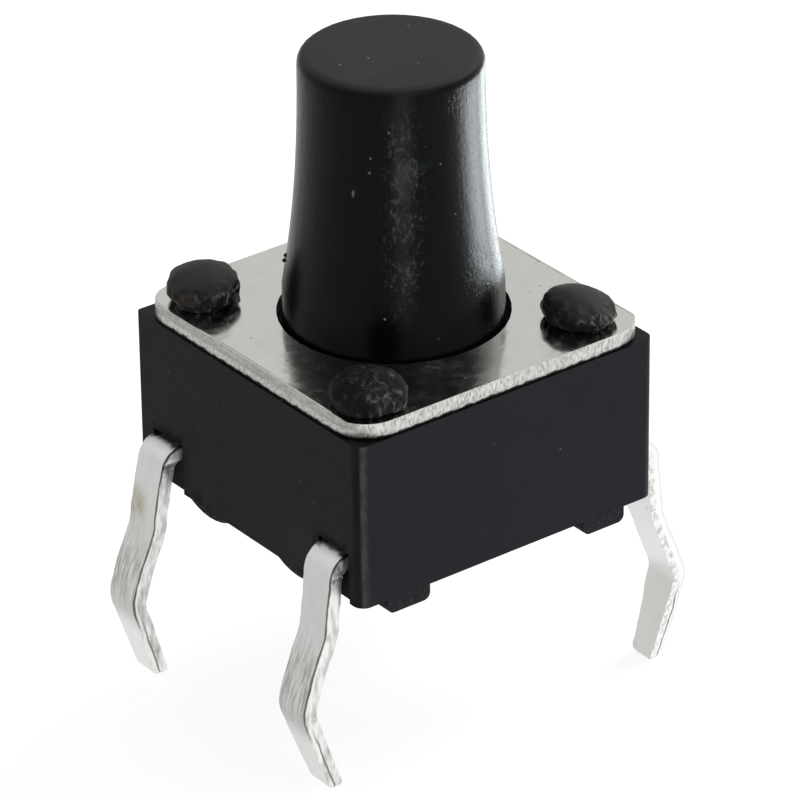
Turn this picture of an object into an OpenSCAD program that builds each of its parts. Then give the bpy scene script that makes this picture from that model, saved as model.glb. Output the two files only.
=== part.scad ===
// Tactile push button switch, through-hole type with four leads.
// The origin is the middle of the lead pattern on the board's top surface, +Z up,
// the leads leave the housing on the -X and +X sides. All sizes are in millimetres.

/* [Housing] */
// Width of the square moulded housing
body_w = 6; // [5.8:0.1:9]
// Height of the moulded housing without its feet
base_h = 2.92; // [2.5:0.02:5]
// Radius of the housing's two upright edges on its +Y side
edge_r = 0.08; // [0.02:0.01:0.3]
// Radius of the two upright edges on its -Y side, which mark the housing's way round
key_edge_r = 0.2; // [0.02:0.01:0.4]
// Depth of the sunk panel round each lead
panel_depth = 0.08; // [0.04:0.01:0.16]
// Margin of the sunk panel round each lead
panel_margin = 0.07; // [0.05:0.01:0.3]
// How far the sunk panel stands off the middle of its lead, along Y
panel_shift = 0.05; // [0:0.01:0.1]
// Plastic under the metal strips
floor_under = 0.56; // [0.4:0.02:0.9]

/* [Feet] */
// Height of the feet, which hold the housing off the board
foot_h = 0.3; // [0.1:0.02:0.5]
// Width of a block foot along X
foot_w = 0.84; // [0.4:0.02:1.2]
// Radius of a block foot's lower edges along Y
foot_edge_r = 0.12; // [0.02:0.01:0.2]
// Depth of a block foot along Y
foot_d = 0.5; // [0.3:0.02:0.8]
// Distance from the middle of the housing to the middle of a block foot, along X
foot_x = 2; // [1.4:0.02:2.3]
// How far a block foot stands in from the housing's side, along Y
foot_inset = 0.05; // [0:0.01:0.2]
// Length of the chord of a bow-shaped foot beside a lead, along Y
bow_l = 1.3; // [0.9:0.05:1.6]
// Height of a bow foot, which ends short of the board
bow_h = 0.2; // [0.1:0.02:0.3]
// Distance from the middle of the housing to the middle of a bow foot, along Y
bow_y = 1.2; // [0.9:0.05:1.25]
// Thickness of a bow foot along X
bow_t = 0.45; // [0.3:0.05:0.7]

/* [Cover plate] */
// Thickness of the metal cover plate
cover_t = 0.28; // [0.15:0.01:0.5]
// How far the plate stands in from the housing's sides
cover_inset = 0.05; // [0.01:0.01:0.15]
// Corner radius of the plate
cover_r = 0.62; // [0.2:0.02:0.9]
// Radius of the plate's two upper edges on its -X and +X sides, which the press rolled over
cover_roll = 0.07; // [0.02:0.01:0.12]

/* [Rivet studs] */
// Diameter of a moulded stud
stud_d = 0.84; // [0.5:0.02:0.9]
// Distance from the housing's side to the middle of a stud
stud_inset = 0.8; // [0.7:0.02:1]
// Diameter of the melted head on a stud
head_d = 1.2; // [1:0.02:1.24]
// Height of the melted head on a stud
head_h = 0.46; // [0.2:0.02:0.6]
// Clearance round a stud in its hole in the plate
stud_gap = 0.04; // [0.02:0.01:0.08]

/* [Button] */
// Height of the button above the cover plate
stem_h = 4.6; // [1.2:0.1:12]
// Diameter of the button where it leaves the plate
stem_root_d = 3.62; // [2.8:0.02:3.8]
// Diameter of the button at its top
stem_tip_d = 3; // [2:0.02:3.4]
// Height of the straight collar at the button's root, above the plate
collar_h = 0.5; // [0.3:0.05:0.6]
// Radius of the button's top edge
stem_edge_r = 0.18; // [0.05:0.01:0.4]
// Clearance round the button in the plate's hole
stem_gap = 0.1; // [0.06:0.01:0.16]
// How far the button's flange reaches past its root under the plate
flange_lip = 0.3; // [0.26:0.01:0.4]
// Thickness of the flange
flange_t = 0.5; // [0.3:0.02:0.7]
// Diameter of the pusher's end under the button
pusher_d = 1.2; // [0.8:0.05:1.6]
// Diameter of the pusher where it meets the flange
pusher_root_d = 1.9; // [1.6:0.05:2.4]
// Width of the two lugs that keep the button from turning
lug_w = 1; // [0.6:0.05:1.4]
// How far a lug reaches past the flange
lug_reach = 0.3; // [0.2:0.02:0.34]
// Clearance of the flange and its lugs in the well
well_gap = 0.1; // [0.06:0.01:0.14]

/* [Contacts] */
// Stroke of the button until the contact dome closes
travel = 0.25; // [0.15:0.01:0.35]
// Diameter of the snap dome
dome_d = 3.7; // [2.8:0.05:3.8]
// Thickness of the snap dome
dome_t = 0.06; // [0.04:0.01:0.1]
// Thickness of the insulating film over the dome
film_t = 0.05; // [0.03:0.01:0.08]
// Diameter of the centre contact's button
pad_d = 0.9; // [0.6:0.05:1.2]
// How far the centre contact stands above the well's floor
pad_h = 0.06; // [0.02:0.01:0.1]

/* [Terminals] */
// Thickness of the terminal strip
strip_t = 0.27; // [0.2:0.01:0.35]
// Width of a lead
lead_w = 0.66; // [0.5:0.02:0.8]
// Width of a lead at its tip
lead_tip_w = 0.48; // [0.34:0.02:0.5]
// Distance between the two leads on one side, middle to middle
lead_pitch = 4.5; // [4:0.1:4.6]
// Gap between the housing's side and a lead's inner face
lead_gap = 0.15; // [0.08:0.01:0.3]
// Length of a lead below the board's top surface
lead_l = 3.2; // [2.6:0.1:6]
// Depth of the knee, where the lead starts to lean out
knee_depth = 0.4; // [0:0.05:0.6]
// Depth of the kink that snaps under the board
kink_depth = 1.68; // [1.3:0.02:2]
// How far the kink stands out from the straight part of the lead
kink_out = 0.56; // [0.2:0.02:0.8]
// How far the tip stands out from the straight part of the lead
tip_out = 0.08; // [0:0.02:0.3]
// Width of the tongue that carries the centre contact
tongue_w = 0.9; // [0.6:0.05:1.2]
// Width of the arms that carry the dome's rim
arm_w = 0.5; // [0.3:0.05:0.6]
// Height of the raised contact lands above the strip
land_h = 0.1; // [0.06:0.01:0.2]

/* [Hidden] */
$fn = 64;

over = 0.5;                // how far a cutting shape runs past, and an added one runs in
bend_steps = 12;           // straight steps in a strip's bend
flare_steps = 14;          // rings along the button's flare
flare_power = 2.3;         // how late and how sharply the flare opens towards the root
round_steps = 6;           // steps in a small rounded edge

// heights, from the board up
base_top = foot_h + base_h;
cover_top = base_top + cover_t;
stem_top = cover_top + stem_h;
strip_z = foot_h + floor_under;
strip_top = strip_z + strip_t;
floor_z = strip_top + land_h;

// the snap dome is a cap of a sphere, and the film lies on it
dome_r = dome_d / 2;
dome_rim = 0.05;           // width of the flat ring that the dome stands on
dome_rise = travel + pad_h;
dome_seat_r = dome_r - dome_rim;
dome_in_r = (dome_seat_r * dome_seat_r + dome_rise * dome_rise) / (2 * dome_rise);
dome_out_r = dome_in_r + dome_t;
film_out_r = dome_out_r + film_t;
dome_z = floor_z + dome_rise - dome_in_r;
film_edge_r = sqrt(pow(film_out_r, 2) - pow(floor_z - dome_z, 2));
film_top = dome_z + film_out_r;

// the well holds the film and the button's flange
root_r = stem_root_d / 2;
tip_r = stem_tip_d / 2;
hole_r = root_r + stem_gap;
flange_r = root_r + flange_lip;
well_r = max(flange_r, film_edge_r) + well_gap;
flange_z = base_top - flange_t;
lug_r = flange_r + lug_reach;
stud_at = body_w / 2 - stud_inset;

// the strips and their leads
strip_y = lead_pitch / 2;
lead_x = body_w / 2 + lead_gap + strip_t / 2;
panel_w = lead_w + 2 * panel_margin;
exit_bend_r = 0.3;         // bend of the strip's middle where it turns down
knee_bend_r = 1;
kink_bend_r = 0.45;
tip_round = 0.12;
support_hole_d = 0.6;      // holes left by the pins that held the strips in the mould
support_hole_x = 1.2;
gate_d = 1.3;              // sunk disc round the moulding gate, under the housing
gate_depth = 0.1;
gate_nub_d = 0.4;
land_l = 1;                // length along Y of the lands under the dome's rim

function unit(v) = v / norm(v);
function arc(c, r, a0, a1, n) = [for (i = [0:n]) let (a = a0 + (a1 - a0) * i / n)
                                 c + r * [cos(a), sin(a)]];

// One bend of a path from a to c by way of b, seen at the distance off to its left
function bend(a, b, c, r, off) =
    let (u = unit(b - a),
         v = unit(c - b),
         turn = atan2(u[0] * v[1] - u[1] * v[0], u * v),
         way = sign(turn),
         middle = b - u * r * tan(abs(turn) / 2) + way * r * [-u[1], u[0]],
         start = atan2(u[1], u[0]) - way * 90)
    arc(middle, r - way * off, start, start + turn, bend_steps);

// One face of a bent strip: the path p moved off to its left, with the bend radii r
function face(p, r, off) =
    let (n = len(p),
         u = unit(p[1] - p[0]),
         v = unit(p[n - 1] - p[n - 2]))
    concat([p[0] + off * [-u[1], u[0]]],
           [for (i = [1:n - 2]) each bend(p[i - 1], p[i], p[i + 1], r[i - 1], off)],
           [p[n - 1] + off * [-v[1], v[0]]]);

function reversed(p) = [for (i = [len(p) - 1:-1:0]) p[i]];
function mirrored(p) = [for (q = reversed(p)) [-q[0], q[1]]];

// The button's radius at a height above the plate: a straight collar, then a flare
function stem_r(h) =
    let (u = min(1, (stem_h - h) / (stem_h - collar_h)))
    tip_r + (root_r - tip_r) * pow(u, flare_power);

module at_corners(x, y) {
    for (sx = [-1, 1], sy = [-1, 1]) translate([sx * x, sy * y, 0]) children();
}

// An upright block with a radius of its own on each edge, counted from +X +Y round
module edged_block(w, h, radii) {
    difference() {
        translate([-w / 2, -w / 2, 0]) cube([w, w, h]);
        for (i = [0:3]) {
            r = radii[i];
            rotate([0, 0, 90 * i]) translate([w / 2 - r, w / 2 - r, -over])
                difference() {
                    cube([r + over, r + over, h + 2 * over]);
                    translate([0, 0, -over]) cylinder(r = r, h = h + 4 * over);
                }
        }
    }
}

// A melted stud head: a low mushroom with a rolled edge
module rivet_head() {
    r = head_d / 2;
    roll = head_h / 3;
    profile = concat([[0, 0], [r - roll / 2, 0]],
                     [for (i = [0:round_steps]) let (a = 90 * i / round_steps)
                      [(r - roll / 2) * pow(cos(a), 0.5) + roll / 2 * cos(a),
                       roll + (head_h - roll) * sin(a)]]);
    rotate_extrude() polygon(profile);
}

// Outline of a lead seen along X: straight, then tapering to a rounded tip
module lead_front() {
    polygon(concat([[lead_w / 2, strip_top + over], [-lead_w / 2, strip_top + over],
                    [-lead_w / 2, -kink_depth]],
                   arc([tip_round - lead_tip_w / 2, tip_round - lead_l], tip_round, 180, 270,
                       round_steps),
                   arc([lead_tip_w / 2 - tip_round, tip_round - lead_l], tip_round, 270, 360,
                       round_steps),
                   [[lead_w / 2, -kink_depth]]));
}

// A strip across the housing with a kinked lead at each end
module strip_with_leads() {
    half = [[lead_x, strip_z + strip_t / 2], [lead_x, -knee_depth],
            [lead_x + kink_out, -kink_depth], [lead_x + tip_out, -lead_l - over]];
    path = concat(mirrored(half), half);
    radii = [kink_bend_r, knee_bend_r, exit_bend_r, exit_bend_r, knee_bend_r, kink_bend_r];
    span = 2 * (lead_x + kink_out + strip_t);
    intersection() {
        rotate([90, 0, 0]) linear_extrude(height = 2 * lead_w, center = true)
            polygon(concat(face(path, radii, strip_t / 2),
                           reversed(face(path, radii, -strip_t / 2))));
        rotate([90, 0, 90]) linear_extrude(height = span, center = true) lead_front();
    }
}

module centre_terminal_shape() {
    translate([0, strip_y, 0]) strip_with_leads();
    translate([-tongue_w / 2, 0, strip_z]) cube([tongue_w, strip_y, strip_t]);
    translate([0, 0, strip_z]) cylinder(d = tongue_w, h = strip_t);
    translate([0, 0, strip_z]) cylinder(d = pad_d, h = strip_t + land_h + pad_h);
}

module rim_terminal_shape() {
    translate([0, -strip_y, 0]) strip_with_leads();
    for (side = [-1, 1]) translate([side * dome_seat_r, 0, strip_z]) {
        translate([-arm_w / 2, -strip_y, 0]) cube([arm_w, strip_y + land_l / 2, strip_t]);
        translate([-arm_w / 2, -land_l / 2, 0]) cube([arm_w, land_l, strip_t + land_h]);
    }
}

module well() {
    drop = flange_z - travel - well_gap;
    slot_r = lug_r + well_gap;
    translate([0, 0, floor_z]) cylinder(r = well_r, h = base_top - floor_z + over);
    translate([0, 0, drop]) intersection() {
        cylinder(r = slot_r, h = base_top - drop + over);
        translate([-body_w, -lug_w / 2 - well_gap, 0])
            cube([2 * body_w, lug_w + 2 * well_gap, base_top - drop + over]);
    }
}

// A foot with a bowed underside, beside each lead
module bow_foot() {
    bow_r = (pow(bow_l / 2, 2) + pow(bow_h, 2)) / (2 * bow_h);
    translate([0, 0, foot_h - bow_h]) intersection() {
        translate([0, 0, bow_r]) rotate([0, 90, 0]) cylinder(r = bow_r, h = bow_t);
        translate([0, -bow_l / 2, 0]) cube([bow_t, bow_l, bow_h + over]);
    }
}

// A block foot with two rounded lower edges
module block_foot() {
    edge_x = foot_w / 2 - foot_edge_r;
    rotate([90, 0, 0]) linear_extrude(height = foot_d, center = true)
        polygon(concat([[-foot_w / 2, foot_h + over]],
                       arc([-edge_x, foot_edge_r], foot_edge_r, 180, 270, round_steps),
                       arc([edge_x, foot_edge_r], foot_edge_r, 270, 360, round_steps),
                       [[foot_w / 2, foot_h + over]]));
}

module feet() {
    at_corners(foot_x, body_w / 2 - foot_inset - foot_d / 2) block_foot();
    for (side = [0, 180], y = [-bow_y, bow_y]) rotate([0, 0, side])
        translate([body_w / 2 - panel_depth - bow_t, y, 0]) bow_foot();
}

module lead_panels() {
    panel_h = strip_top + panel_margin - foot_h;
    for (side = [0, 180], y = [-strip_y, strip_y]) rotate([0, 0, side])
        translate([body_w / 2 - panel_depth, y + panel_shift - panel_w / 2, foot_h - over])
            cube([panel_depth + over, panel_w, panel_h + over]);
}

module mould_marks() {
    at_corners(support_hole_x, strip_y) translate([0, 0, foot_h - over])
        cylinder(d = support_hole_d, h = floor_under + over);
    translate([0, 0, foot_h - over]) difference() {
        cylinder(d = gate_d, h = gate_depth + over);
        cylinder(d = gate_nub_d, h = gate_depth + over + over);
    }
}

// The moulded housing, with its feet below and its four rivet studs above
module base() {
    color("#28292c") difference() {
        union() {
            translate([0, 0, foot_h])
                edged_block(body_w, base_h, [edge_r, edge_r, key_edge_r, key_edge_r]);
            feet();
            at_corners(stud_at, stud_at) {
                translate([0, 0, base_top - over]) cylinder(d = stud_d, h = cover_t + over);
                translate([0, 0, cover_top]) rivet_head();
            }
        }
        well();
        lead_panels();
        mould_marks();
        centre_terminal_shape();
        rim_terminal_shape();
    }
}

// A square plate with round corners, and two rolled upper edges on its -X and +X sides
module rolled_plate(w) {
    roll = arc([w / 2 - cover_roll, cover_t - cover_roll], cover_roll, 0, 90, round_steps);
    intersection() {
        edged_block(w, cover_t, [cover_r, cover_r, cover_r, cover_r]);
        rotate([90, 0, 0]) linear_extrude(height = w, center = true)
            polygon(concat([[-w / 2, 0], [w / 2, 0]], roll, mirrored(roll)));
    }
}

// The stamped cover plate, held down by the four rivet heads
module cover() {
    color("#c8c9c2") translate([0, 0, base_top]) difference() {
        rolled_plate(body_w - 2 * cover_inset);
        translate([0, 0, -over]) cylinder(r = hole_r, h = cover_t + 2 * over);
        at_corners(stud_at, stud_at) translate([0, 0, -over])
            cylinder(d = stud_d + 2 * stud_gap, h = cover_t + 2 * over);
    }
}

// The button, with its flange, its two lugs and the pusher under it
module plunger() {
    flare_end = stem_h - stem_edge_r;
    edge_at = stem_r(flare_end) - stem_edge_r;
    profile = concat([[0, base_top - flange_t / 2], [root_r, base_top - flange_t / 2]],
                     [for (i = [0:flare_steps - 1])
                      let (h = collar_h + (flare_end - collar_h) * i / flare_steps)
                      [stem_r(h), cover_top + h]],
                     arc([edge_at, cover_top + flare_end], stem_edge_r, 0, 90, round_steps),
                     [[0, stem_top]]);
    color("#232325") {
        rotate_extrude() polygon(profile);
        translate([0, 0, flange_z]) {
            cylinder(r = flange_r, h = flange_t);
            intersection() {
                cylinder(r = lug_r, h = flange_t);
                translate([-body_w, -lug_w / 2, 0]) cube([2 * body_w, lug_w, flange_t]);
            }
        }
        translate([0, 0, film_top])
            cylinder(d1 = pusher_d, d2 = pusher_root_d, h = flange_z - film_top);
    }
}

// The thin film that lies on the dome and keeps dust and flux out of the contacts
module insulating_film() {
    color("#d9c27a") difference() {
        intersection() {
            translate([0, 0, dome_z]) sphere(r = film_out_r);
            translate([0, 0, floor_z]) cylinder(r = well_r, h = film_top);
        }
        translate([0, 0, dome_z]) sphere(r = dome_out_r);
    }
}

// The snap dome, which clicks down onto the centre contact
module contact_dome() {
    color("#d6d6d0") intersection() {
        difference() {
            translate([0, 0, dome_z]) sphere(r = dome_out_r);
            translate([0, 0, dome_z]) sphere(r = dome_in_r);
        }
        translate([0, 0, floor_z]) cylinder(r = dome_r, h = film_top);
    }
}

module centre_terminal() {
    color("#d9dad6") centre_terminal_shape();
}

module rim_terminal() {
    color("#d9dad6") rim_terminal_shape();
}

base();
cover();
plunger();
insulating_film();
contact_dome();
centre_terminal();
rim_terminal();
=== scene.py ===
# %% [markdown]
# # A tactile push button switch
# This is the small square switch that clicks when it is pressed: a black moulded housing, a steel
# plate held down by four melted plastic studs, a tall black button, and four kinked tinned leads.
# The shape that matters comes from the CAD model, which is loaded as a fixed frame. Blender adds
# what CAD leaves out: rounded edges, melted lumps, grain, scuffs, dust, and the light.
# One unit is a metre, and the whole switch is 11 mm tall, so most sizes below are written in mm.

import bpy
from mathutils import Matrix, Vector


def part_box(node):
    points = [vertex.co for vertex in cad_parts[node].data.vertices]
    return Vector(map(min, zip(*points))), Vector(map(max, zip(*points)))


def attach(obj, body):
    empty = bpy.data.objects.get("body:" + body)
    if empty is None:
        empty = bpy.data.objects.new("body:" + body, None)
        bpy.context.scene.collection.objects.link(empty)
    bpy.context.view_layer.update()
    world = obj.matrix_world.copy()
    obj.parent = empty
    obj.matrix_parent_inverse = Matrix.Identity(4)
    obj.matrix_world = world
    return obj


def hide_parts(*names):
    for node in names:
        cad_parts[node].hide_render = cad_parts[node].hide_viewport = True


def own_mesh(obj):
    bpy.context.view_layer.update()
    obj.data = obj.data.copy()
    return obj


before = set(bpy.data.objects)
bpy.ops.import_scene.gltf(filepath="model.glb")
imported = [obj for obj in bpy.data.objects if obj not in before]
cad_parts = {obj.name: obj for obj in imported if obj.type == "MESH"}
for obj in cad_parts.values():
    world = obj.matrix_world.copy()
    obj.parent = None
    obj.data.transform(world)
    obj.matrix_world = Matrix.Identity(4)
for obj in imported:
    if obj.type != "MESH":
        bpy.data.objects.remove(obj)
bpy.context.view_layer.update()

import math

import bmesh
import bpy
from mathutils import Matrix, Vector, noise

mm = 0.001
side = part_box("base")[1].x
half_width = side / mm
plate_bottom, plate_top = (corner.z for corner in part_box("cover"))
lead_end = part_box("centre_terminal")[0].z

# %% [markdown]
# ## The camera
# A long lens far away makes a small thing look like a catalogue picture, with hardly any
# perspective. The camera could be placed by typing its coordinates, but a turn, a height above the
# horizon and a distance say better where it stands, and are easier to change. Azimuth 0 looks
# along +Y. The roll is the small lean that any hand-held or tripod camera has.

# %% Camera


def direction(azimuth, elevation):
    """The unit vector from the switch towards something at these angles, in degrees."""
    turn, rise = math.radians(azimuth), math.radians(elevation)
    return Vector((math.sin(turn) * math.cos(rise), -math.cos(turn) * math.cos(rise),
                   math.sin(rise)))


def in_scene(name, data):
    """A new object in the scene that holds a mesh, a lamp or a camera."""
    made = bpy.data.objects.new(name, data)
    bpy.context.scene.collection.objects.link(made)
    return made


view_azimuth, view_elevation, view_roll = -37.19, 28.68, -0.70
view_distance = 95.28 * mm
aim = Vector((0.063, -0.048, 1.804)) * mm

camera = in_scene("camera", bpy.data.cameras.new("camera"))
camera.data.lens = 262.7
camera.data.clip_start = 1 * mm
back = direction(view_azimuth, view_elevation)
camera.location = aim + back * view_distance
camera.rotation_mode = "QUATERNION"
camera.rotation_quaternion = ((-back).to_track_quat("-Z", "Y")
                              @ Matrix.Rotation(math.radians(view_roll), 3, "Z").to_quaternion())
bpy.context.scene.camera = camera
print("camera at", [round(c / mm, 1) for c in camera.location], "mm")

# %% [markdown]
# ## Shader sums in plain Python
# A finish in Blender is a tree of nodes. Wiring each Math node by hand hides what is being worked
# out, so `Wire` wraps a socket and lets `+`, `-`, `*` and `abs` add the Math nodes. `Graph.node`
# adds any other node: its kind, then its settings, then the values or links of its sockets.

# %% Wires and graphs


class Wire:
    """An output socket that can be used in sums."""

    def __init__(self, graph, socket):
        self.graph, self.socket = graph, socket

    def out(self, name):
        """Another output of the same node."""
        return Wire(self.graph, self.socket.node.outputs[name])

    def math(self, operation, a, b=0.0):
        return self.graph.node("ShaderNodeMath", {"operation": operation}, {0: a, 1: b})

    def __add__(self, other):
        return self.math("ADD", self, other)

    def __sub__(self, other):
        return self.math("SUBTRACT", self, other)

    def __rsub__(self, other):
        return self.math("SUBTRACT", other, self)

    def __mul__(self, other):
        return self.math("MULTIPLY", self, other)

    def __abs__(self):
        return self.math("ABSOLUTE", self)

    __radd__ = __add__
    __rmul__ = __mul__


class Graph:
    """A node tree that is filled in by calls."""

    def __init__(self, tree):
        self.tree = tree

    def node(self, kind, settings=None, sockets=None):
        made = self.tree.nodes.new(kind)
        for name, value in (settings or {}).items():
            setattr(made, name, value)
        for name, value in (sockets or {}).items():
            self.plug(made.inputs[name], value)
        return Wire(self, made.outputs[0]) if made.outputs else made

    def plug(self, socket, value):
        if isinstance(value, Wire):
            self.tree.links.new(value.socket, socket)
        elif socket.type == "RGBA":
            socket.default_value = (*value, 1.0)
        else:
            socket.default_value = value


# %% [markdown]
# ## The studio
# Small shiny parts are lit by large soft lamps close by. A lamp's strength could be set in watts,
# but what the eye judges is how bright it looks in a reflection, so each softbox is given the
# brightness of its face, and the watts follow from its area. A key light stands behind on the
# right. A black button shows hardly any light of its own, so its roundness is drawn by highlights:
# two small panels stand close by at the right, no higher than the plate, where the button's flank
# mirrors them. So near, they would burn out the bright leads, so light linking lets them light the
# button alone. Two weaker boxes open the shadows.

# %% Softboxes


def softbox(name, azimuth, elevation, distance, width, height, brightness, colour=(1, 1, 1)):
    """A lamp that faces the switch, with its distance and size in mm. At brightness 1 it looks
    as bright as a white world of strength 1."""
    distance, width, height = distance * mm, width * mm, height * mm
    lamp = bpy.data.lights.new(name, "AREA")
    lamp.shape = "RECTANGLE"
    lamp.color = colour
    lamp.size, lamp.size_y = width, height
    lamp.energy = brightness * math.pi * width * height
    box = in_scene(name, lamp)
    box.location = direction(azimuth, elevation) * distance
    box.rotation_euler = direction(azimuth, elevation).to_track_quat("Z", "Y").to_euler()
    share = brightness * width * height / distance ** 2 / math.pi
    print(name, "lights a white card that faces it to", round(share, 2))
    return box


cool = (0.90, 0.97, 1.0)
softbox("key", view_azimuth + 128, 42, distance=140, width=90, height=70, brightness=5.0)
panels = [softbox("flank_panel", view_azimuth + 106, 0.5, distance=16, width=8, height=6.3,
                  brightness=16.0, colour=cool),
          softbox("rim_panel", view_azimuth + 140, 0.5, distance=16, width=7, height=6.3,
                  brightness=7.5, colour=cool)]
lit_by_panels = bpy.data.collections.new("lit_by_panels")
lit_by_panels.objects.link(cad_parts["plunger"])
for panel in panels:
    panel.light_linking.receiver_collection = lit_by_panels
softbox("front", view_azimuth + 40, 35, distance=160, width=80, height=80, brightness=1.4)
softbox("left", view_azimuth - 95, 30, distance=150, width=110, height=110, brightness=0.3)

# %% [markdown]
# The world gives the rest. What lights the switch is a pale grey, and what the camera, and
# anything shiny or clear, sees is the white backdrop. A Light Path node tells the two apart.

# %% World
world = bpy.data.worlds.new("studio")
bpy.context.scene.world = world
world.use_nodes = True
sky = Graph(world.node_tree)


def seen_directly(graph):
    """1 for rays from the camera, a mirror or a clear surface, and 0 for rays of plain light."""
    path = graph.node("ShaderNodeLightPath")
    return (path.out("Is Camera Ray") + path.out("Is Glossy Ray")
            + path.out("Is Transmission Ray"))


fill_light = 0.5
shell = world.node_tree.nodes["Background"]
shell.inputs["Color"].default_value = (1, 1, 1, 1)
sky.plug(shell.inputs["Strength"], fill_light + (1 - fill_light) * seen_directly(sky))
print("the world lights the switch at", fill_light, "and shows as 1")

# %% [markdown]
# The floor takes the switch's soft shadow. It glows a little to the camera and in reflections, so
# that it ends up as white as the backdrop. Seen from below it is clear, so that the switch's
# underside can be looked at.

# %% Floor
floor_size = 400 * mm
floor_mesh = bpy.data.meshes.new("floor")
corners = [(-1, -1), (1, -1), (1, 1), (-1, 1)]
floor_mesh.from_pydata([(x * floor_size / 2, y * floor_size / 2, 0) for x, y in corners], [],
                       [(0, 1, 2, 3)])
floor = in_scene("floor", floor_mesh)
floor.location.z = lead_end

pale = bpy.data.materials.new("pale_floor")
pale.use_nodes = True
paint = Graph(pale.node_tree)
floor_albedo, floor_lift = 0.40, 0.78
matt = paint.node("ShaderNodeBsdfDiffuse", sockets={"Color": (floor_albedo,) * 3})
lift = paint.node("ShaderNodeEmission", sockets={"Strength": seen_directly(paint) * floor_lift})
lit = paint.node("ShaderNodeAddShader", sockets={0: matt, 1: lift})
clear = paint.node("ShaderNodeBsdfTransparent")
under = paint.node("ShaderNodeNewGeometry").out("Backfacing")
shown = paint.node("ShaderNodeMixShader", sockets={0: under, 1: lit, 2: clear})
paint.plug(pale.node_tree.nodes["Material Output"].inputs["Surface"], shown)
floor_mesh.materials.append(pale)
bpy.context.scene.view_settings.view_transform = "Standard"
print("floor at", round(lead_end / mm, 2), "mm")

# %% [markdown]
# ## Tools for surface detail
# Each finish below is built from a few kinds of pattern: soft clouds, stretched streaks, and
# sparse specks. They are all read from a point's place on the part in mm, so a pattern keeps its
# true size, and stays with the piece when it moves. `ramp` and `band` turn a pattern or a place
# into a mask, which is 1 where something shows and 0 where it does not.

# %% Patterns and masks
cloud_shift, speck_shift = (7.3, 3.1, 5.7), (2.9, 9.1, 4.3)


class Patterns(Graph):
    """A material's node tree, with the patterns that the finishes here are made of."""

    def __init__(self, tree):
        super().__init__(tree)
        points = self.node("ShaderNodeTexCoord")
        self.place = self.scaled(points.out("Object"), (1 / mm,) * 3)
        self.facing = points.out("Normal")

    def scaled(self, vector, factors, shift=(0, 0, 0)):
        return self.node("ShaderNodeVectorMath", {"operation": "MULTIPLY_ADD"},
                         {0: vector, 1: factors, 2: shift})

    def parts(self, vector):
        """The x, y and z of a vector."""
        split = self.node("ShaderNodeSeparateXYZ", sockets={0: vector})
        return split, split.out("Y"), split.out("Z")

    def clouds(self, per_mm, stretch=(1, 1, 1), seed=0, detail=2.0, turn=0):
        """Soft noise from 0 to 1. A small stretch along an axis draws it out into streaks,
        which can be turned about Z by degrees."""
        place = self.place if not turn else self.node(
            "ShaderNodeVectorRotate", {"rotation_type": "Z_AXIS"},
            {"Vector": self.place, "Angle": math.radians(turn)})
        where = self.scaled(place, [per_mm * s for s in stretch],
                            [seed * s for s in cloud_shift])
        return self.node("ShaderNodeTexNoise", sockets={
            "Vector": where, "Scale": 1.0, "Detail": detail})

    def ramp(self, value, low, high):
        """0 below low, 1 above high, and a soft step between them."""
        return self.node("ShaderNodeMapRange", {"interpolation_type": "SMOOTHSTEP"}, {
            "Value": value, "From Min": low, "From Max": high})

    def band(self, value, middle, half):
        """1 at the middle, fading to 0 at half away on each side."""
        return 1 - self.ramp(abs(value - middle), 0.0, half)

    def specks(self, per_mm, radius, share, stretch=(1, 1, 1), seed=0):
        """Round specks up to a radius in mm, in a share of the cells of a pattern with per_mm
        cells to a millimetre, each with its own strength."""
        where = self.scaled(self.place, [per_mm * s for s in stretch],
                            [seed * s for s in speck_shift])
        cells = self.node("ShaderNodeTexVoronoi", sockets={"Vector": where, "Scale": 1.0})
        chance = self.parts(cells.out("Color"))[0]
        return (1 - self.ramp(cells, 0.4 * radius * per_mm, radius * per_mm)) * self.ramp(
            chance, 1 - share, 1.0)

    def hairs(self, pattern, half):
        """Thin curved lines, where a cloud pattern passes through its middle value."""
        return 1 - self.ramp(abs(pattern - 0.5), 0.0, half)


# %% [markdown]
# A finish is one material with Blender's Principled shader. `layered` lays colours one over
# another through masks, as a painter would. `relief` turns heights in micrometres into bumps,
# which are enough for grain this fine, and quicker than real dents. `set` fills the shader's
# sockets by name.

# %% Finishes
micrometre = 1e-6


class Finish(Patterns):
    """A material that is made from patterns."""

    def __init__(self, name, **constants):
        self.material = bpy.data.materials.new(name)
        self.material.use_nodes = True
        super().__init__(self.material.node_tree)
        self.shader = self.tree.nodes["Principled BSDF"]
        self.set(**constants)

    def colour(self, mask, a, b):
        """Colour a where mask is 0, and b where it is 1."""
        mixed = self.node("ShaderNodeMix", {"data_type": "RGBA"}, {0: mask, 6: a, 7: b})
        return Wire(self, mixed.socket.node.outputs[2])

    def layered(self, tone, *layers):
        """Colours laid one over another. Each layer is a mask, and what shows where it is 1."""
        for mask, over in layers:
            tone = self.colour(mask, tone, over)
        return tone

    def relief(self, height):
        """Bumps from a height in micrometres."""
        return self.node("ShaderNodeBump", sockets={"Distance": micrometre, "Height": height})

    def set(self, **sockets):
        for socket, value in sockets.items():
            self.plug(self.shader.inputs[socket.replace("_", " ")], value)

    def tell(self, stage):
        print(self.material.name, "has", len(self.tree.nodes), "nodes with its", stage)


# %% [markdown]
# ## Rounded edges
# No moulded or stamped edge is perfectly sharp: it has a small radius that catches the light.
# The radius could be modelled in CAD, but at a hundredth of a millimetre it is quicker here. A
# Bevel modifier rounds each sharp edge, after a Weld joins the corners that the import split, and
# Weighted Normal keeps the flat faces flat. Its Keep Sharp setting also keeps the lines where one
# CAD face meets the next, which suits wide flat parts, but would show every step of a bent strip.

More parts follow.
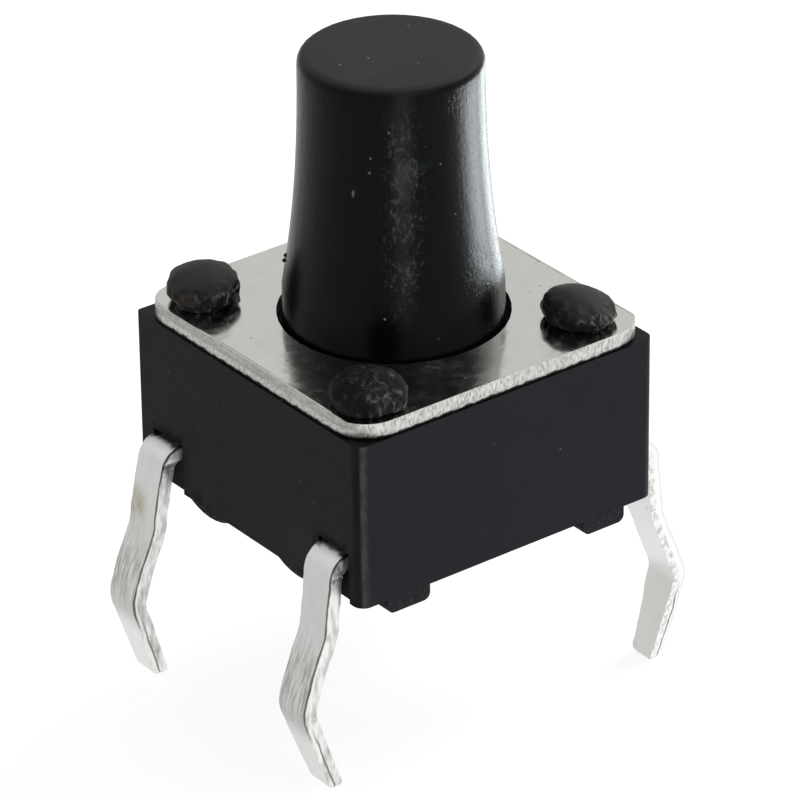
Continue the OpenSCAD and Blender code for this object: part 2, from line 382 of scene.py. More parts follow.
# %% Edge softening
same_place = 1e-4 * mm
sharp_from = math.radians(35)


def soften(piece, radius, keep_edges=False, segments=2):
    """Round the sharp edges of a piece to a radius in mm."""
    weld = piece.modifiers.new("join", "WELD")
    weld.merge_threshold = same_place
    bevel = piece.modifiers.new("round", "BEVEL")
    bevel.width, bevel.segments = radius * mm, segments
    bevel.limit_method, bevel.angle_limit = "ANGLE", sharp_from
    piece.modifiers.new("flat", "WEIGHTED_NORMAL").keep_sharp = keep_edges


def dress(piece, finish):
    piece.data.materials.clear()
    piece.data.materials.append(finish.material)
    print(piece.name, "wears", finish.material.name)


def dress_node(name, finish, radius, keep_edges=False):
    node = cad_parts[name]
    node.material_slots[0].material = finish.material
    soften(node, radius, keep_edges)
    print(name, "wears", finish.material.name)


# %% [markdown]
# ## Copies that can be cut
# The CAD pieces themselves stay as they are. Where Blender has to change one, it changes a copy of
# the piece's mesh, which then stands in for it. Edit mode is made for the hand, and a bmesh does
# the same for a script: the copy is opened as one, cut, and written back to its mesh.

# %% Copies and cuts


def opened(node):
    """A copy of a CAD node's mesh, and the copy opened for editing, with its corners joined."""
    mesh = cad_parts[node].data.copy()
    solid = bmesh.new()
    solid.from_mesh(mesh)
    bmesh.ops.remove_doubles(solid, verts=solid.verts, dist=same_place)
    return mesh, solid


def cut_across(solid, height, **options):
    return bmesh.ops.bisect_plane(solid, geom=solid.verts[:] + solid.edges[:] + solid.faces[:],
                                  plane_co=(0, 0, height), plane_no=(0, 0, 1), **options)


def closed(name, solid, mesh):
    """The object that an edited solid becomes, once it is written to a mesh."""
    mesh.name = name
    solid.to_mesh(mesh)
    solid.free()
    return in_scene(name, mesh)


# %% [markdown]
# ## The housing
# The housing is heat-resistant nylon or a like plastic, black, with the fine even grain of a
# spark-eroded mould. Its four studs went through the plate as plain pegs, and a hot tool melted
# their ends over. Each melted head came out different, so the CAD's four equal ones are cut off
# a copy of the housing here, and lumpy ones are made instead.

# %% Housing without its melted heads
head_foot = plate_top - 0.05 * mm
mesh, solid = opened("base")
cut = cut_across(solid, head_foot, clear_outer=True)
rims = [e for e in cut["geom_cut"] if isinstance(e, bmesh.types.BMEdge)]
bmesh.ops.triangle_fill(solid, edges=rims, use_beauty=True)
bmesh.ops.recalc_face_normals(solid, faces=solid.faces)
housing = closed("housing", solid, mesh)
soften(housing, 0.012, keep_edges=True)
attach(housing, "housing")
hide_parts("base")
print("housing cut at", round(head_foot / mm, 2), "mm,", len(housing.data.polygons), "faces")

# %% [markdown]
# ### The housing's surface
# A finish is built in three steps: patterns, then masks that say where each kind of wear, dirt,
# painted light or painted shade lies, and then colours laid one over another through those masks.
# A painted picture could be wrapped round the piece instead, but masks made from where a point
# lies and faces fit every side, and have no seams. Painted shade, in the gap under the plate,
# round the lead exits, along the foot seams and in a hollow by the leads, is laid on as a dark
# metal, because a dark metal mirrors almost nothing, and even black plastic keeps a sheen.

# %% Housing: patterns
black = Finish("housing_black", Specular_IOR_Level=0.12)
x, y, z = black.parts(black.place)
nx, ny, nz = black.parts(black.facing)
mottle = black.clouds(0.9, detail=3)
waves = black.clouds(0.7, seed=5)
fog = black.clouds(6, detail=4, seed=7)
grain = black.clouds(13, detail=4, seed=1)
ragged = black.clouds(8, detail=4, seed=4)
foot_grain = black.clouds(13, detail=4, seed=4)
dust = black.specks(3, 0.034, 0.25, stretch=(1, 1, 0.8), seed=2)
black.tell("patterns")

# %% Housing: faces, feet and edge
foot_height = 0.3
# painted shade: the two faces that the leads come out of are painted darker than the others
shaded_lead_side = black.ramp(abs(nx), 0.5, 0.9)
near_lead_face = black.ramp(abs(x), half_width - 0.10, half_width - 0.02)
foot = 1 - black.ramp(z, foot_height - 0.03, foot_height)
worn_foot = foot * black.ramp(black.clouds(15, detail=4, seed=4), 0.48, 0.66)
# painted highlight down the front edge's -Y half, over a little wear, and painted shade on its -X
# half
front_edge = black.ramp(-1 * nx, 0.03, 0.2) * black.ramp(-1 * ny, 0.1, 0.3)
edge_wear_and_highlight = (front_edge * black.band(-1 * ny, 0.85, 0.20)
             * (0.65 + 0.6 * black.ramp(fog, 0.35, 0.65)))
edge_shade = front_edge * (1 - black.ramp(-1 * ny, 0.50, 0.68))
on_lead_face = black.ramp(abs(x), half_width - 0.02, half_width - 0.005)
# painted reflection: a warm tint on the face beside each lead, as the lead mirrored in the plastic
lead_reflection_tint = (black.band(abs(y), 1.45, 0.7) * on_lead_face
             * (1 - black.ramp(z, 0.9, 1.5)) * (1 - foot))
black.tell("faces, feet and edge")

# %% Housing: painted shade
# painted shade round each lead exit, where the leads leave the housing
exit_row, exit_half_width = 2.18, 0.36
fray = 0.4 * (ragged - 0.5)
beside_exit = abs(abs(y) - exit_row) - exit_half_width + fray
exit_shade = ((1 - black.ramp(beside_exit, 0.03, 0.12)) * black.ramp(z, 0.75, 1.0)
             * (1 - black.ramp(z + fray, 1.25, 1.37))
             * black.ramp(abs(x), half_width - 0.15, half_width - 0.05))
top_from = 3.0
# painted shadow in the gap under the plate, and painted shade along the foot seams and in a hollow
under_plate = black.ramp(nz, 0.7, 0.9) * black.ramp(z, top_from, top_from + 0.1)
foot_seam = (black.band(z + 0.12 * ragged, 0.38, 0.09) * near_lead_face
             * black.ramp(black.clouds(3, detail=3, seed=9), 0.50, 0.60))
hollow = black.band(y + 0.2 * ragged, 1.50, 0.22) * black.band(z, 0.40, 0.24)
painted_shade = under_plate + exit_shade + foot_seam + hollow * near_lead_face
black.tell("painted_shade")

# %% Housing: colours
tone = black.layered(
    black.colour(mottle, (0.0130, 0.0142, 0.0180), (0.0180, 0.0200, 0.0250)),
    (shaded_lead_side, black.colour(mottle, (0.0042, 0.0037, 0.0068), (0.0070, 0.0063, 0.0102))),
    (lead_reflection_tint, (0.0140, 0.0118, 0.0105)),
    (edge_shade, (0.0040, 0.0040, 0.0045)),
    (edge_wear_and_highlight, (0.085, 0.086, 0.090)),
    (worn_foot, (0.042, 0.042, 0.045)),
    (painted_shade, (0.0030, 0.0028, 0.0028)),
    (dust, (0.11, 0.11, 0.105)))
black.set(Base_Color=tone, Metallic=painted_shade,
          Roughness=0.44 + 0.14 * fog + 0.14 * shaded_lead_side,
          Normal=black.relief(1.6 * grain + 16 * foot * foot_grain + 5 * waves))
dress(housing, black)

# %% [markdown]
# ### Melted heads
# A melted head is a mushroom: the plastic was pushed down over the plate, folded at its rim, and
# froze with wrinkles. It could be sculpted by hand, but a profile turned round in rings, with
# smooth noise added, gives four different lumps from one recipe. The noise is small on the dome
# and large at the rim, where the folds are.

# %% Folds of a melted head
fold_fade = 0.35


def smooth_step(value):
    value = min(1.0, max(0.0, value))
    return value * value * (3 - 2 * value)


def folds(place, turn, share, reach):
    """How far the melt stands out, in mm, at a place on a head. share is 0 at the rim's
    underside and 1 on top, and the folds fade out above reach."""
    rim = 1 - smooth_step((share - reach) / fold_fade)
    pleat = Vector((5 * math.cos(turn), 5 * math.sin(turn), 3 * share)) + place.orthogonal() * 0.3
    # broad swells and ripples all over, and at the rim folds, pleats and fine wrinkles
    return (0.07 * noise.noise(place * 1.1) + 0.014 * noise.noise(place * 3.1)
            + rim * (0.040 * noise.noise(place * 4.0) + 0.030 * noise.noise(pleat)
                     + 0.024 * noise.noise(place * 10)))


def bulge(size, off, width, rise, spread):
    """A soft bulge of a size in mm, from how far off it is in degrees and in share."""
    return size * math.exp(-(off / width) ** 2 - (rise / spread) ** 2)


for where, share in (("rim", 0.1), ("top", 1.0)):
    stands_out = folds(Vector((0.5, 0, 0)), 0, share, 0.4)
    print("at a head's", where, "the melt stands out by", round(stands_out, 3), "mm")

# %% Rings of a melted head
stud_radius = 0.41 * mm
ring_count, points_round = 26, 72
lowest_rise, highest_rise = -34, 88
widest_at = 0.36


def head_ring(share, radius, height, seed, reach, nib):
    """One ring of points, between the waist at the plate (share 0) and the top (share 1). A nib
    is a drip that stands out at a turn in degrees, with a hollow over it."""
    rise = math.radians(lowest_rise + (highest_rise - lowest_rise) * share)
    ring = []
    for k in range(points_round):
        turn = 2 * math.pi * k / points_round
        outward = Vector((math.cos(turn) * math.cos(rise), math.sin(turn) * math.cos(rise),
                          math.sin(rise)))
        point = Vector((radius * outward.x, radius * outward.y,
                        height * (widest_at + (1 - widest_at) * outward.z)))
        out = folds(point / mm + Vector((seed, seed * 1.7, 0)), turn, share, reach)
        if nib is not None:
            off = math.degrees(abs(math.remainder(turn - math.radians(nib), 2 * math.pi)))
            out += bulge(0.10, off, 11, share - 0.13, 0.07)
            out -= bulge(0.07, off, 16, share - 0.26, 0.06)
        ring.append(point + outward * out * mm)
    return ring


def closed_rings(name, rings):
    """A smooth closed mesh through rings of points, with a face at each end."""
    solid = bmesh.new()
    rows = [[solid.verts.new(point) for point in ring] for ring in rings]
    count = len(rows[0])
    for low, high in zip(rows, rows[1:]):
        for k in range(count):
            n = (k + 1) % count
            solid.faces.new((low[k], low[n], high[n], high[k]))
    solid.faces.new(rows[0][::-1])
    solid.faces.new(rows[-1])
    for face in solid.faces:
        face.smooth = True
    return closed(name, solid, bpy.data.meshes.new(name))


print("a head is drawn with", ring_count, "rings of", points_round, "points")

# %% [markdown]
# ### The heads' surface
# A head is smooth and dull on top, where the tool pressed it, and painted grey there as light from
# above, and dark in the folds round it. The folds get painted glints on the side that faces the
# lamps at the right, and the heads at +X are painted darker on top, as shade, on their other side.
# The front head is painted dark as shade from the button. A pale brownish band round the upper
# rim is part tint and part painted rim highlight. Each head could have a finish of its own, but
# masks made from where a point lies and faces do it for all four in one.

# %% Melted heads: patterns and masks
melted = Finish("melted_black", Specular_IOR_Level=0.08)
x, y, _ = melted.parts(melted.place)
nx, ny, nz = melted.parts(melted.facing)
# the way towards the lamps at the right: the side of a head that faces them gets painted glints
lit_right, lit_forward = 0.79, 0.61
crust = melted.clouds(10, stretch=(1, 1, 0.6), detail=5, seed=3)
creases = melted.hairs(melted.clouds(6, stretch=(1, 1, 0.4), detail=3, seed=11), 0.06)
on_top = melted.ramp(nz + 0.5 * (melted.clouds(2.6, detail=3, seed=16) - 0.5), 0.36, 0.88)
# painted shade: the front head is painted dark, as if in the button's shadow
front_head_shade = melted.ramp(-1 * x, 1.2, 1.6) * melted.ramp(-1 * y, 1.2, 1.6)
wrinkled = 1 - on_top * (1 - 0.6 * front_head_shade)
lit_side = melted.ramp(lit_right * nx - lit_forward * ny, -0.25, 0.40)
# painted light: tops are paler, and at +X darker as shade on the side away from the lamps
smooth_lit_top = on_top * (1 - 0.75 * melted.ramp(x, 0.0, 0.5) * (1 - lit_side))
# painted glints on the folds, mostly on the side that faces the lamps
painted_glint = ((0.25 * creases + melted.ramp(crust, 0.50, 0.68)) * wrinkled * (1 - 0.3 * front_head_shade)
         * (0.15 + 0.85 * lit_side) * melted.ramp(melted.clouds(2.6, seed=14), 0.36, 0.58))
# a pale brownish band round the upper rim, part tint and part painted rim highlight
brown_rim = melted.ramp(melted.clouds(1.6, seed=6), 0.50, 0.62) * melted.band(nz, 0.30, 0.55)
melted.tell("patterns and masks")

# %% Melted heads: colours
tone = melted.layered(
    (0.0065, 0.0060, 0.0060),
    (smooth_lit_top, (0.0350, 0.0345, 0.0335)),
    (brown_rim, (0.034, 0.027, 0.022)),
    (front_head_shade, melted.colour(lit_side, (0.0050, 0.0050, 0.0052), (0.0140, 0.0138, 0.0145))),
    (painted_glint, (0.24, 0.236, 0.232)))
melted.set(Base_Color=tone,
           Roughness=0.42 + 0.16 * smooth_lit_top + 0.20 * front_head_shade,
           Normal=melted.relief(wrinkled * 26 * crust + 4 * melted.clouds(14, seed=8)))
melted.tell("colours")

# %% [markdown]
# ### Four heads from one recipe
# Each head gets its own size, seed and slump, and a short stub under it that goes into the hole in
# the plate. The slump lowers one side of a head and leaves its foot on the plate, which a plain
# tilt would lift.

# %% The four melted heads
stud_from_side = 0.8 * mm
stud = side - stud_from_side


def melted_head(name, corner, radius, height, slump, slump_to, seed, off=(0, 0), reach=0.38,
                nib=None):
    """A head over the stud in a corner, or a little off it. Sizes are in mm. The head is lower by
    a share of its height on the side that it slumps to, in degrees."""
    radius, height = radius * mm, height * mm
    turn = math.radians(slump_to)
    low_side = Vector((math.cos(turn), math.sin(turn), 0)) / radius
    rings = [[Vector((p.x, p.y, p.z * (1 - slump * low_side.dot(p))))
              for p in head_ring(i / ring_count, radius, height, seed, reach, nib)]
             for i in range(ring_count)]
    stub = [Vector((math.cos(2 * math.pi * k / points_round),
                    math.sin(2 * math.pi * k / points_round), 0)) * stud_radius
            for k in range(points_round)]
    rings = [[p + Vector((0, 0, head_foot - plate_top)) for p in stub], stub, *rings]
    at = Vector((corner[0] * stud + off[0] * mm, corner[1] * stud + off[1] * mm, plate_top))
    head = closed_rings(name, [[at + point for point in ring] for ring in rings])
    smooth = head.modifiers.new("smooth", "SUBSURF")
    smooth.levels = smooth.render_levels = 1
    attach(head, "housing")
    dress(head, melted)


melted_head("melted_head_left", (-1, 1), radius=0.61, height=0.62, slump=0.06, slump_to=-150,
            seed=3.1, reach=0.44, nib=-62)
melted_head("melted_head_front", (-1, -1), radius=0.63, height=0.52, slump=0.12, slump_to=-120,
            seed=8.4, reach=0.62, off=(-0.03, -0.05))
melted_head("melted_head_right", (1, -1), radius=0.61, height=0.51, slump=0.26, slump_to=-38,
            seed=5.7, reach=0.46, off=(-0.09, 0.07))
melted_head("melted_head_back", (1, 1), radius=0.60, height=0.56, slump=0.10, slump_to=100,
            seed=12.9)
print("four melted heads on studs", round(stud / mm, 2), "mm from the middle")

# %% [markdown]
# ## The cover plate
# The plate is stamped from thin stainless strip. Its broad face keeps the soft shine of rolled
# steel, with stray scratches and pits. The press sheared two of its sides, which left bright
# upright streaks, and rolled over the others.

# %% Plate: patterns
steel = Finish("plate_steel", Metallic=1.0)
x, y, z = steel.parts(steel.place)
_, ny, nz = steel.parts(steel.facing)
haze = steel.clouds(2.2, detail=5, seed=6)
smudge = steel.ramp(steel.clouds(4.5, detail=4, seed=13), 0.35, 0.85)
brushed = steel.clouds(16, stretch=(1, 0.10, 1), seed=3, turn=8)
scratch = (steel.ramp(steel.clouds(11, stretch=(0.10, 1, 1), seed=11, turn=52), 0.64, 0.74)
           + steel.ramp(steel.clouds(9, stretch=(0.12, 1, 1), seed=5, turn=-25), 0.66, 0.76))
pits = steel.specks(4, 0.040, 0.35, stretch=(1, 1.5, 0.15), seed=4)
streaks = steel.clouds(40, stretch=(1, 1, 0.25), seed=9)
torn = steel.clouds(17, stretch=(1, 1, 0.5), seed=18, detail=3)
lines = steel.clouds(22, stretch=(1, 0.03, 1), seed=2)
grain = steel.clouds(17, detail=3, seed=21)
fray = 0.12 * steel.clouds(6, detail=4, seed=15)
steel.tell("patterns")

# %% Plate: where each surface lies
low, high = plate_bottom / mm, plate_top / mm
flat_face = steel.ramp(nz, 0.9, 0.99)
edge_face = 1 - flat_face
sheared = steel.ramp(abs(ny), 0.45, 0.75)
rolled = 1 - sheared
greasy = steel.band(x, -0.70, 0.55) * steel.band(y, -1.90, 0.55)
roll_line = (steel.band(z, high - 0.10, 0.016) * edge_face
             + steel.band(abs(x), half_width - 0.13, 0.020) * steel.ramp(nz, 0.6, 0.9))
# painted shade: a ragged dark strip along the lower edge, where the plate sits on the housing
lower_edge_shade = 1 - steel.ramp(z - fray, low - 0.035, low - 0.010)
steel.tell("surfaces")

# %% Plate: colours
dull = (0.34, 0.34, 0.32)
rolled_tone = steel.colour(steel.ramp(z, low + 0.08, low + 0.20), (0.52, 0.52, 0.49), dull)
sheared_tone = steel.colour(steel.ramp(0.6 * streaks + 0.4 * torn, 0.34, 0.60), dull,
                            (0.72, 0.71, 0.68))
tone = steel.layered(
    steel.colour(haze, (0.475, 0.475, 0.445), (0.53, 0.53, 0.50)),
    (pits * flat_face, (0.26, 0.25, 0.23)),
    (edge_face, rolled_tone),
    (sheared, sheared_tone),
    (rolled * roll_line * steel.ramp(haze, 0.3, 0.6), (0.20, 0.20, 0.19)),
    (0.6 * rolled * edge_face * steel.ramp(grain, 0.48, 0.62), (0.22, 0.215, 0.20)),
    (lower_edge_shade, (0.05, 0.05, 0.047)))
steel.set(Base_Color=tone,
          Roughness=(0.11 + 0.16 * smudge + 0.30 * edge_face + 0.07 * scratch
                     + 0.24 * greasy * haze),
          Normal=steel.relief(0.5 * brushed + 0.5 * scratch + 7 * sheared * (streaks + torn)
                              + edge_face * rolled * (3 * lines + 5 * grain)))
dress_node("cover", steel, 0.008, keep_edges=True)
print("plate is", round(high - low, 2), "mm thick")

# %% [markdown]
# ## The button
# The button is moulded in a matt black plastic. Its end is grainy, and is painted paler than the
# side, partly for the grain and partly as painted light from above. Its side was polished in the
# mould, so it carries a long soft highlight, and scuffs show where it rubbed in the tray. The
# scuffed band is painted paler, partly scuff and partly painted highlight.

# %% Button: patterns
rubbed = Finish("button_black", Specular_IOR_Level=0.08)
x, y, z = rubbed.parts(rubbed.place)
_, _, nz = rubbed.parts(rubbed.facing)
# the end is painted paler than the side, partly for its grain and partly as painted light from
# above
end = rubbed.ramp(nz, 0.5, 0.95)
grain = rubbed.clouds(13, detail=4, seed=2)
dents = rubbed.clouds(5, stretch=(1, 1, 0.5), detail=4, seed=6)
drag = rubbed.clouds(14, stretch=(1, 1, 0.10), seed=5)
patchy = rubbed.clouds(2.6, stretch=(1, 1, 0.7), detail=3, seed=9)
nicks = rubbed.ramp(rubbed.clouds(17, stretch=(1, 1, 0.55), detail=4, seed=12), 0.53, 0.63)
arcs = (rubbed.hairs(rubbed.clouds(6, stretch=(1, 1, 0.6), detail=2, seed=10), 0.04)
        * rubbed.ramp(rubbed.clouds(9, seed=14), 0.48, 0.60))
rubbed.tell("patterns")

# %% Button: where it was rubbed
scuff_turn = math.radians(-122)
outward = x * math.cos(scuff_turn) + y * math.sin(scuff_turn)
across = y * math.cos(scuff_turn) - x * math.sin(scuff_turn)


def patch(middle, level, half_across, half_up, ragged=0.0):
    """A soft spot on the button's side, placed across the scuff line and in height, in mm."""
    return (rubbed.band(across + ragged * (dents - 0.5), middle, half_across)
            * rubbed.band(z, level, half_up) * rubbed.ramp(outward, 0.2, 0.5))


# the scuffed band is painted paler, partly scuff and partly painted highlight
scuff_sheen = patch(0.03, 6.3, 0.27, 2.7, ragged=0.3)
scraped = patch(0.03, 6.0, 0.42, 2.3, ragged=0.5)
flank = patch(1.36, 4.65, 0.50, 0.75) + 0.5 * patch(0.95, 7.75, 0.40, 0.45)
rubs_and_sheen = (scuff_sheen * (0.34 + 0.4 * rubbed.ramp(patchy, 0.35, 0.65))
       + 1.5 * scraped * (nicks + arcs) * rubbed.ramp(patchy, 0.30, 0.55))
chips = (patch(-0.74, 6.29, 0.03, 0.085, ragged=0.1) + patch(-0.47, 6.93, 0.025, 0.035)
         + patch(-0.49, 6.68, 0.035, 0.03) + rubbed.specks(4, 0.026, 0.30, seed=3))
smear = patch(0.36, 6.77, 0.26, 0.10) * rubbed.ramp(grain, 0.30, 0.55)
rubbed.tell("rubbed places")

# %% Button: colours
tone = rubbed.layered(
    (0.0018, 0.0018, 0.0023),
    (end, (0.031, 0.0305, 0.031)),
    (rubs_and_sheen * (1 - end) * (0.7 + 0.6 * grain), (0.072, 0.072, 0.077)),
    (smear, (0.010, 0.020, 0.020)),
    (chips, (0.24, 0.24, 0.24)))
rubbed.set(Base_Color=tone,
           Roughness=0.24 + 0.36 * end + 0.10 * grain,
           Normal=rubbed.relief(3 * grain + 2 * drag + 5 * dents + 6 * nicks * (scraped + flank)
                                + 4 * arcs * scraped))
dress_node("plunger", rubbed, 0.010)

# %% [markdown]
# ### The flash burr
# A thin burr of flash stands on the button's left, where the two halves of its mould met. It is
# too small for the CAD, so it is a row of rings here that swell and close twice along the mould
# line. A ray that is sent at the button finds the place of each ring on its side.

# %% Burr on the button
burr_height, burr_length, burr_depth = 0.86 * mm, 0.17 * mm, 0.05 * mm
burr_rings, burr_points, burr_width = 13, 12, 0.6
burr_azimuth = -127.19
around = direction(burr_azimuth, 0)
along = around.cross(Vector((0, 0, 1)))
turns = [k * math.pi / (burr_points / 2) for k in range(burr_points)]
rings = []
for i in range(burr_rings):
    share = i / (burr_rings - 1)
    level = Vector((0, 0, plate_top + burr_height + burr_length * share))
    found, middle, _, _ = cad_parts["plunger"].ray_cast(level + around * side, -around)
    # two swellings, the upper one smaller
    swell = 0.12 + abs(math.sin(math.pi * (0.08 + 1.84 * share))) * (1.1 - 0.5 * share)
    rings.append([middle + (around * math.cos(t) + along * burr_width * math.sin(t))
                  * swell * burr_depth for t in turns])
burr = closed_rings("flash_burr", rings)
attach(burr, "button")
dress(burr, rubbed)
print("burr lies", round(middle.xy.length / mm, 2), "mm from the axis:", found)

# %% [markdown]
# ## The leads
# The leads are brass strip plated with tin. In CAD they are four equal bends, but real ones take a
# slightly different lean each time they are handled. A lattice or an armature could lean them, yet
# a short table of offsets by height is exact and easy to read. The leads are copied from the CAD,
# cut across at close steps so that they can flex, and pushed by the table. The cut also gives the
# sheared sides enough corners to be made a little uneven.

# %% Bends of the leads
bend_heights = (1.5, 1.1, 0.75, 0.4, -0.2, -0.7, -1.2, -1.7, -2.2, -2.7, -3.2)
bends = {  # by side and row: how far out, and how far along Y, at each height, in mm
    (-1, 1): ((0, -0.06, -0.10, -0.03, 0.05, 0.06, 0.04, -0.04, -0.09, -0.125, -0.165),
              (0, 0.025, 0.04, 0.07, 0.10, 0.115, 0.135, 0.135, 0.135, 0.13, 0.125)),
    (-1, -1): ((0, -0.13, -0.14, -0.13, -0.085, -0.07, -0.10, -0.155, -0.19, -0.22, -0.265),
               (0, 0.01, 0.035, 0.065, 0.10, 0.11, 0.11, 0.085, 0.035, -0.03, -0.11)),
    (1, -1): ((0, 0.03, 0.06, 0.09, 0.145, 0.165, 0.145, 0.14, 0.125, 0.09, 0.04),
              (0, 0, 0, 0, 0, 0.01, 0.01, 0.01, 0.02, 0.02, 0.03)),
    (1, 1): ((0, -0.02, -0.03, -0.02, 0.02, 0.04, 0.03, 0, -0.03, -0.05, -0.08),
             (0, -0.01, -0.02, -0.03, -0.05, -0.06, -0.07, -0.07, -0.06, -0.06, -0.05)),
}
tip = lead_end / mm
blur_step, blur_reach = 0.05, 4


def bend_at(values, height):
    """The table's value at a height: the mean of nine readings round it, which rounds the
    corners of the straight lines between the entries."""
    total = 0.0
    for step in range(-blur_reach, blur_reach + 1):
        h = min(bend_heights[0], max(bend_heights[-1], height + blur_step * step))
        i = next(i for i in range(len(bend_heights) - 1) if h >= bend_heights[i + 1])
        share = (bend_heights[i] - h) / (bend_heights[i] - bend_heights[i + 1])
        total += values[i] + share * (values[i + 1] - values[i])
    return total / (2 * blur_reach + 1)


for lead, (outs, alongs) in bends.items():
    print("lead", lead, "ends", round(bend_at(outs, tip), 2), "mm out and",
          round(bend_at(alongs, tip), 2), "mm along")

# %% [markdown]
# ### Slices and shoves
# Only the part of a strip outside the housing bends, and a short blend joins it to the part that
# is moulded in. Near the tip the slices lie closer, and both faces are drawn in there, because
# a clipped end is a little rounded. Some leads are also a little longer or shorter.

# %% Copies of the leads
longer = {(-1, 1): 0.0, (-1, -1): -0.07, (1, -1): 0.12, (1, 1): 0.0}  # in mm, at the tip
shank_from, shank_blend = 2.85, 0.2
slice_step, slices_to = 0.09, 0.85
no_slice_within, smallest_edge = 0.004 * mm, 0.003 * mm
tip_rounding = 0.16
strip_thickness = 0.27


def handled_copy(node, name):
    """A copy of a terminal with its two leads bent, and each corner marked outer or inner."""
    mesh, solid = opened(node)
    bmesh.ops.dissolve_limit(solid, angle_limit=math.radians(1), verts=solid.verts,
                             edges=solid.edges)
    slices = [tip + tip_rounding * share for share in (0.1, 0.3, 0.6)]
    while slices[-1] < slices_to:
        slices.append(slices[-1] + slice_step)
    for height in slices:
        cut_across(solid, height * mm, dist=no_slice_within)
    bmesh.ops.remove_doubles(solid, verts=solid.verts, dist=smallest_edge)
    solid.normal_update()
    outer = solid.verts.layers.float.new("outer")
    for corner in solid.verts:
        x, y, z = corner.co / mm
        way = 1 if x > 0 else -1
        corner[outer] = 1.0 if corner.normal.x * way + 0.5 * corner.normal.z > 0 else 0.0
        share = smooth_step((abs(x) - shank_from) / shank_blend)
        lead = way, 1 if y > 0 else -1
        out, along = (bend_at(values, z) for values in bends[lead])
        down = longer[lead] * min(0.0, z) / -tip
        # the sheared sides are a little uneven
        nibble = (0.018 * noise.noise(corner.co / mm * 4 + Vector((9, 2, 5)))
                  + 0.010 * noise.noise(corner.co / mm * 14))
        shove = along + nibble * (1 if corner.normal.y > 0 else -1)
        # both faces are drawn in towards the tip
        low = min(1.0, max(0.0, 1 - (z - tip) / tip_rounding))
        out -= (2 * corner[outer] - 1) * 0.45 * strip_thickness * (1 - math.sqrt(1 - low * low))
        corner.co += Vector((way * out, shove, down)) * share * mm
    for face in solid.faces:
        face.smooth = True
    piece = closed(name, solid, mesh)
    soften(piece, 0.035, segments=3)
    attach(piece, "housing")
    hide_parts(node)
    print(name, "has", len(mesh.vertices), "corners, the lowest at",
          round(min(corner.co.z for corner in mesh.vertices) / mm, 2), "mm")
    return piece


leads = [handled_copy("centre_terminal", "centre_contact"),
         handled_copy("rim_terminal", "rim_contact")]
floor.location.z = min(corner.co.z for piece in leads for corner in piece.data.vertices)

# %% [markdown]
# ### Tin on the leads
# The broad faces are satin grey, with lengthwise streaks at the kink, where they are also painted
# darker as shade. The outer faces are painted brighter towards the tips as light, and the inner
# faces brighter high up and darker low down as light and shade. The sides were sheared before
# plating. Shearing leaves a dark rolled corner, then a thin burnished line, and then torn metal,
# which is rough and pale. The share from inner to outer face was stored in the mesh, so those
# zones follow every bend. Where the leads go into the housing they are painted dark as shade.

# %% Leads: patterns
tinned = Finish("tinned_brass", Metallic=1.0)
x, y, z = tinned.parts(tinned.place)
_, ny, _ = tinned.parts(tinned.facing)
outer = tinned.node("ShaderNodeAttribute", {"attribute_name": "outer"}).out("Fac")
cut_side = tinned.ramp(abs(ny), 0.55, 0.85)
streak = tinned.clouds(18, stretch=(0.4, 1, 0.05), seed=4, detail=4)
fine_streak = tinned.clouds(34, stretch=(0.3, 1, 0.04), seed=8, detail=2)
blotch = tinned.clouds(3.0, detail=5, seed=7)
torn = tinned.clouds(9, stretch=(1, 1, 0.35), detail=5, seed=1)
wavy = outer + 0.30 * (blotch - 0.5) + 0.12 * (torn - 0.5)
# painted light: the outer faces are painted brighter towards the tips
lit_low_end = 1 - tinned.ramp(z, -2.3, -1.75)
tinned.tell("patterns")

# %% Leads: broad faces
# darker at the kink, partly lengthwise streaks and partly painted shade
kink = tinned.band(z, -1.15, 1.0)
kink_streaks_and_shade = kink * tinned.ramp(0.6 * streak + 0.4 * fine_streak, 0.42, 0.60)
stain = (tinned.band(z, -0.05, 0.5) * tinned.band(y, 2.55, 0.42) * tinned.band(x, -3.4, 0.5)
         * tinned.ramp(blotch, 0.25, 0.5))
marks = tinned.specks(4, 0.05, 0.30, stretch=(1, 1, 0.5), seed=5)
outer_face = tinned.layered(
    tinned.colour(blotch, (0.47, 0.475, 0.46), (0.58, 0.59, 0.575)),
    (lit_low_end, (0.74, 0.74, 0.725)),
    (kink_streaks_and_shade, (0.31, 0.305, 0.28)),
    (stain, (0.30, 0.265, 0.18)))
# the inner faces are painted brighter high up and darker low down, as painted light and shade
inner_face = tinned.layered(
    tinned.colour(tinned.ramp(z, -1.9, -1.5), (0.62, 0.62, 0.60), (0.75, 0.76, 0.75)),
    (marks, (0.26, 0.255, 0.24)))
broad_face = tinned.colour(outer, inner_face, outer_face)
tinned.tell("broad faces")

# %% Leads: sheared sides
burnished = tinned.band(wavy, 0.80, 0.16) * tinned.ramp(blotch, 0.40, 0.52)
rolled = tinned.ramp(wavy, 0.80, 0.92) * tinned.ramp(abs(ny), 0.25, 0.50)
left_tone = tinned.layered(
    tinned.colour(tinned.ramp(torn, 0.38, 0.62), (0.90, 0.90, 0.88), (0.62, 0.62, 0.60)),
    (tinned.ramp(torn, 0.62, 0.72), (0.40, 0.395, 0.38)),
    (burnished, (0.92, 0.92, 0.90)),
    ((1 - lit_low_end) * rolled * tinned.ramp(-1 * x, 0, 1), (0.14, 0.137, 0.13)))
torn_in = tinned.colour(tinned.ramp(tinned.clouds(13, detail=4, seed=19), 0.42, 0.66),
                        (0.90, 0.90, 0.89), (0.60, 0.60, 0.58))
smooth_out = tinned.colour(tinned.band(wavy, 0.86, 0.08), (0.92, 0.92, 0.91), (0.78, 0.78, 0.76))
right_tone = tinned.colour(tinned.ramp(wavy, 0.36, 0.52), torn_in, smooth_out)
split = lit_low_end * tinned.band(wavy, 0.60, 0.10)
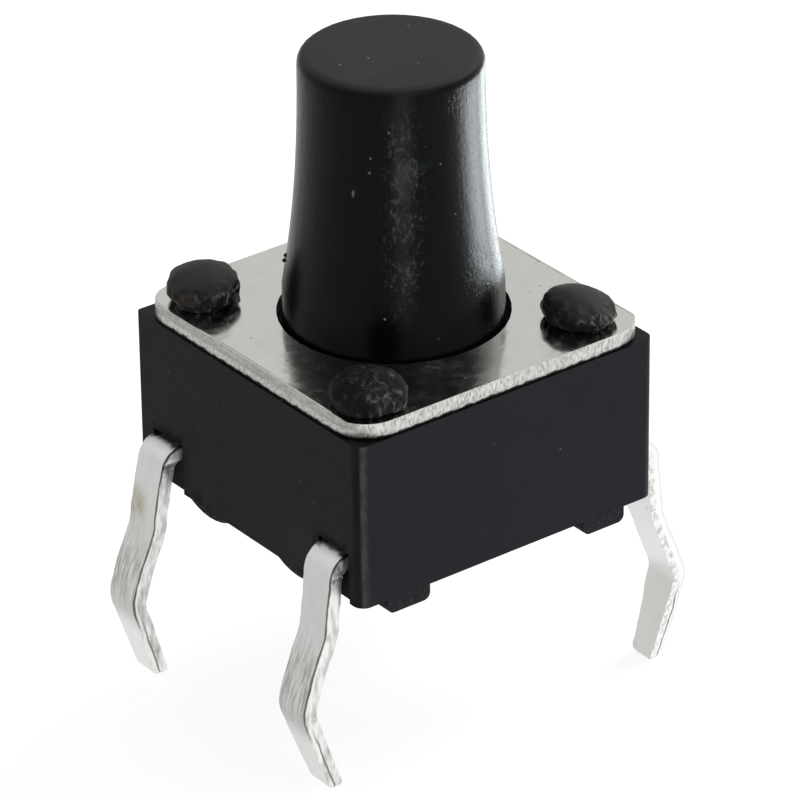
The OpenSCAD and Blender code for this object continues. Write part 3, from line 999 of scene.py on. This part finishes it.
side_tone = tinned.layered(left_tone, (tinned.ramp(x, 0, 1), right_tone),
                           (split, (0.16, 0.155, 0.145)))
tinned.tell("sheared sides")

# %% Leads: painted shade at the housing, and the whole
lip = tinned.ramp(abs(ny), 0.20, 0.45) * tinned.ramp(abs(wavy - 0.5), 0.34, 0.44)
lead_row = 2.25
strip_edge = tinned.ramp(abs(abs(y) - lead_row), 0.14, 0.36)
from_housing = abs(abs(x) - half_width)
# painted shade where the lead goes into the housing
painted_shade = tinned.ramp(z + 0.4 * torn + 0.12 * strip_edge - 1.1 * from_housing, 1.22, 1.42)
tone = tinned.layered(broad_face, (tinned.ramp(cut_side + lip, 0.3, 0.8), side_tone),
                      (painted_shade, (0.02, 0.019, 0.018)))
tinned.set(Base_Color=tone,
           Roughness=0.36 + 0.12 * blotch + 0.10 * cut_side,
           Normal=tinned.relief(2 * streak + 20 * cut_side * torn + 4 * blotch))
for piece in leads:
    dress(piece, tinned)

# %% [markdown]
# ## Inside: the snap dome and its film
# Neither shows from outside, but both are there when the switch is taken apart. The dome is
# bright sprung steel, and the film over it is thin amber plastic.

# %% Dome and film finishes
spring = Finish("dome_steel", Metallic=1.0)
ripple = spring.clouds(6, detail=3, seed=2)
spring.set(Base_Color=spring.colour(ripple, (0.68, 0.68, 0.66), (0.76, 0.76, 0.74)),
           Roughness=0.16 + 0.1 * ripple)
spring.tell("ripple")

amber = Finish("amber_film", Roughness=0.3)
cast = amber.clouds(3, detail=2, seed=5)
amber.set(Base_Color=amber.colour(cast, (0.60, 0.36, 0.08), (0.70, 0.45, 0.13)),
          Normal=amber.relief(1.5 * cast))
amber.tell("cast")

# %% [markdown]
# Both give way when the button goes down, but here they are copied as they stand, and nothing
# flattens them. A shape key could, but it would need a driver. At full stroke the film's top ends
# just under the button.

for name, node, finish, slot in (("snap_dome", "contact_dome", spring, "dome_steel"),
                                 ("film_disc", "insulating_film", amber, "film")):
    piece = in_scene(name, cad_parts[node].data.copy())
    soften(piece, 0.004)
    dress(piece, finish)
    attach(piece, "housing")
    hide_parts(node)
    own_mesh(piece)
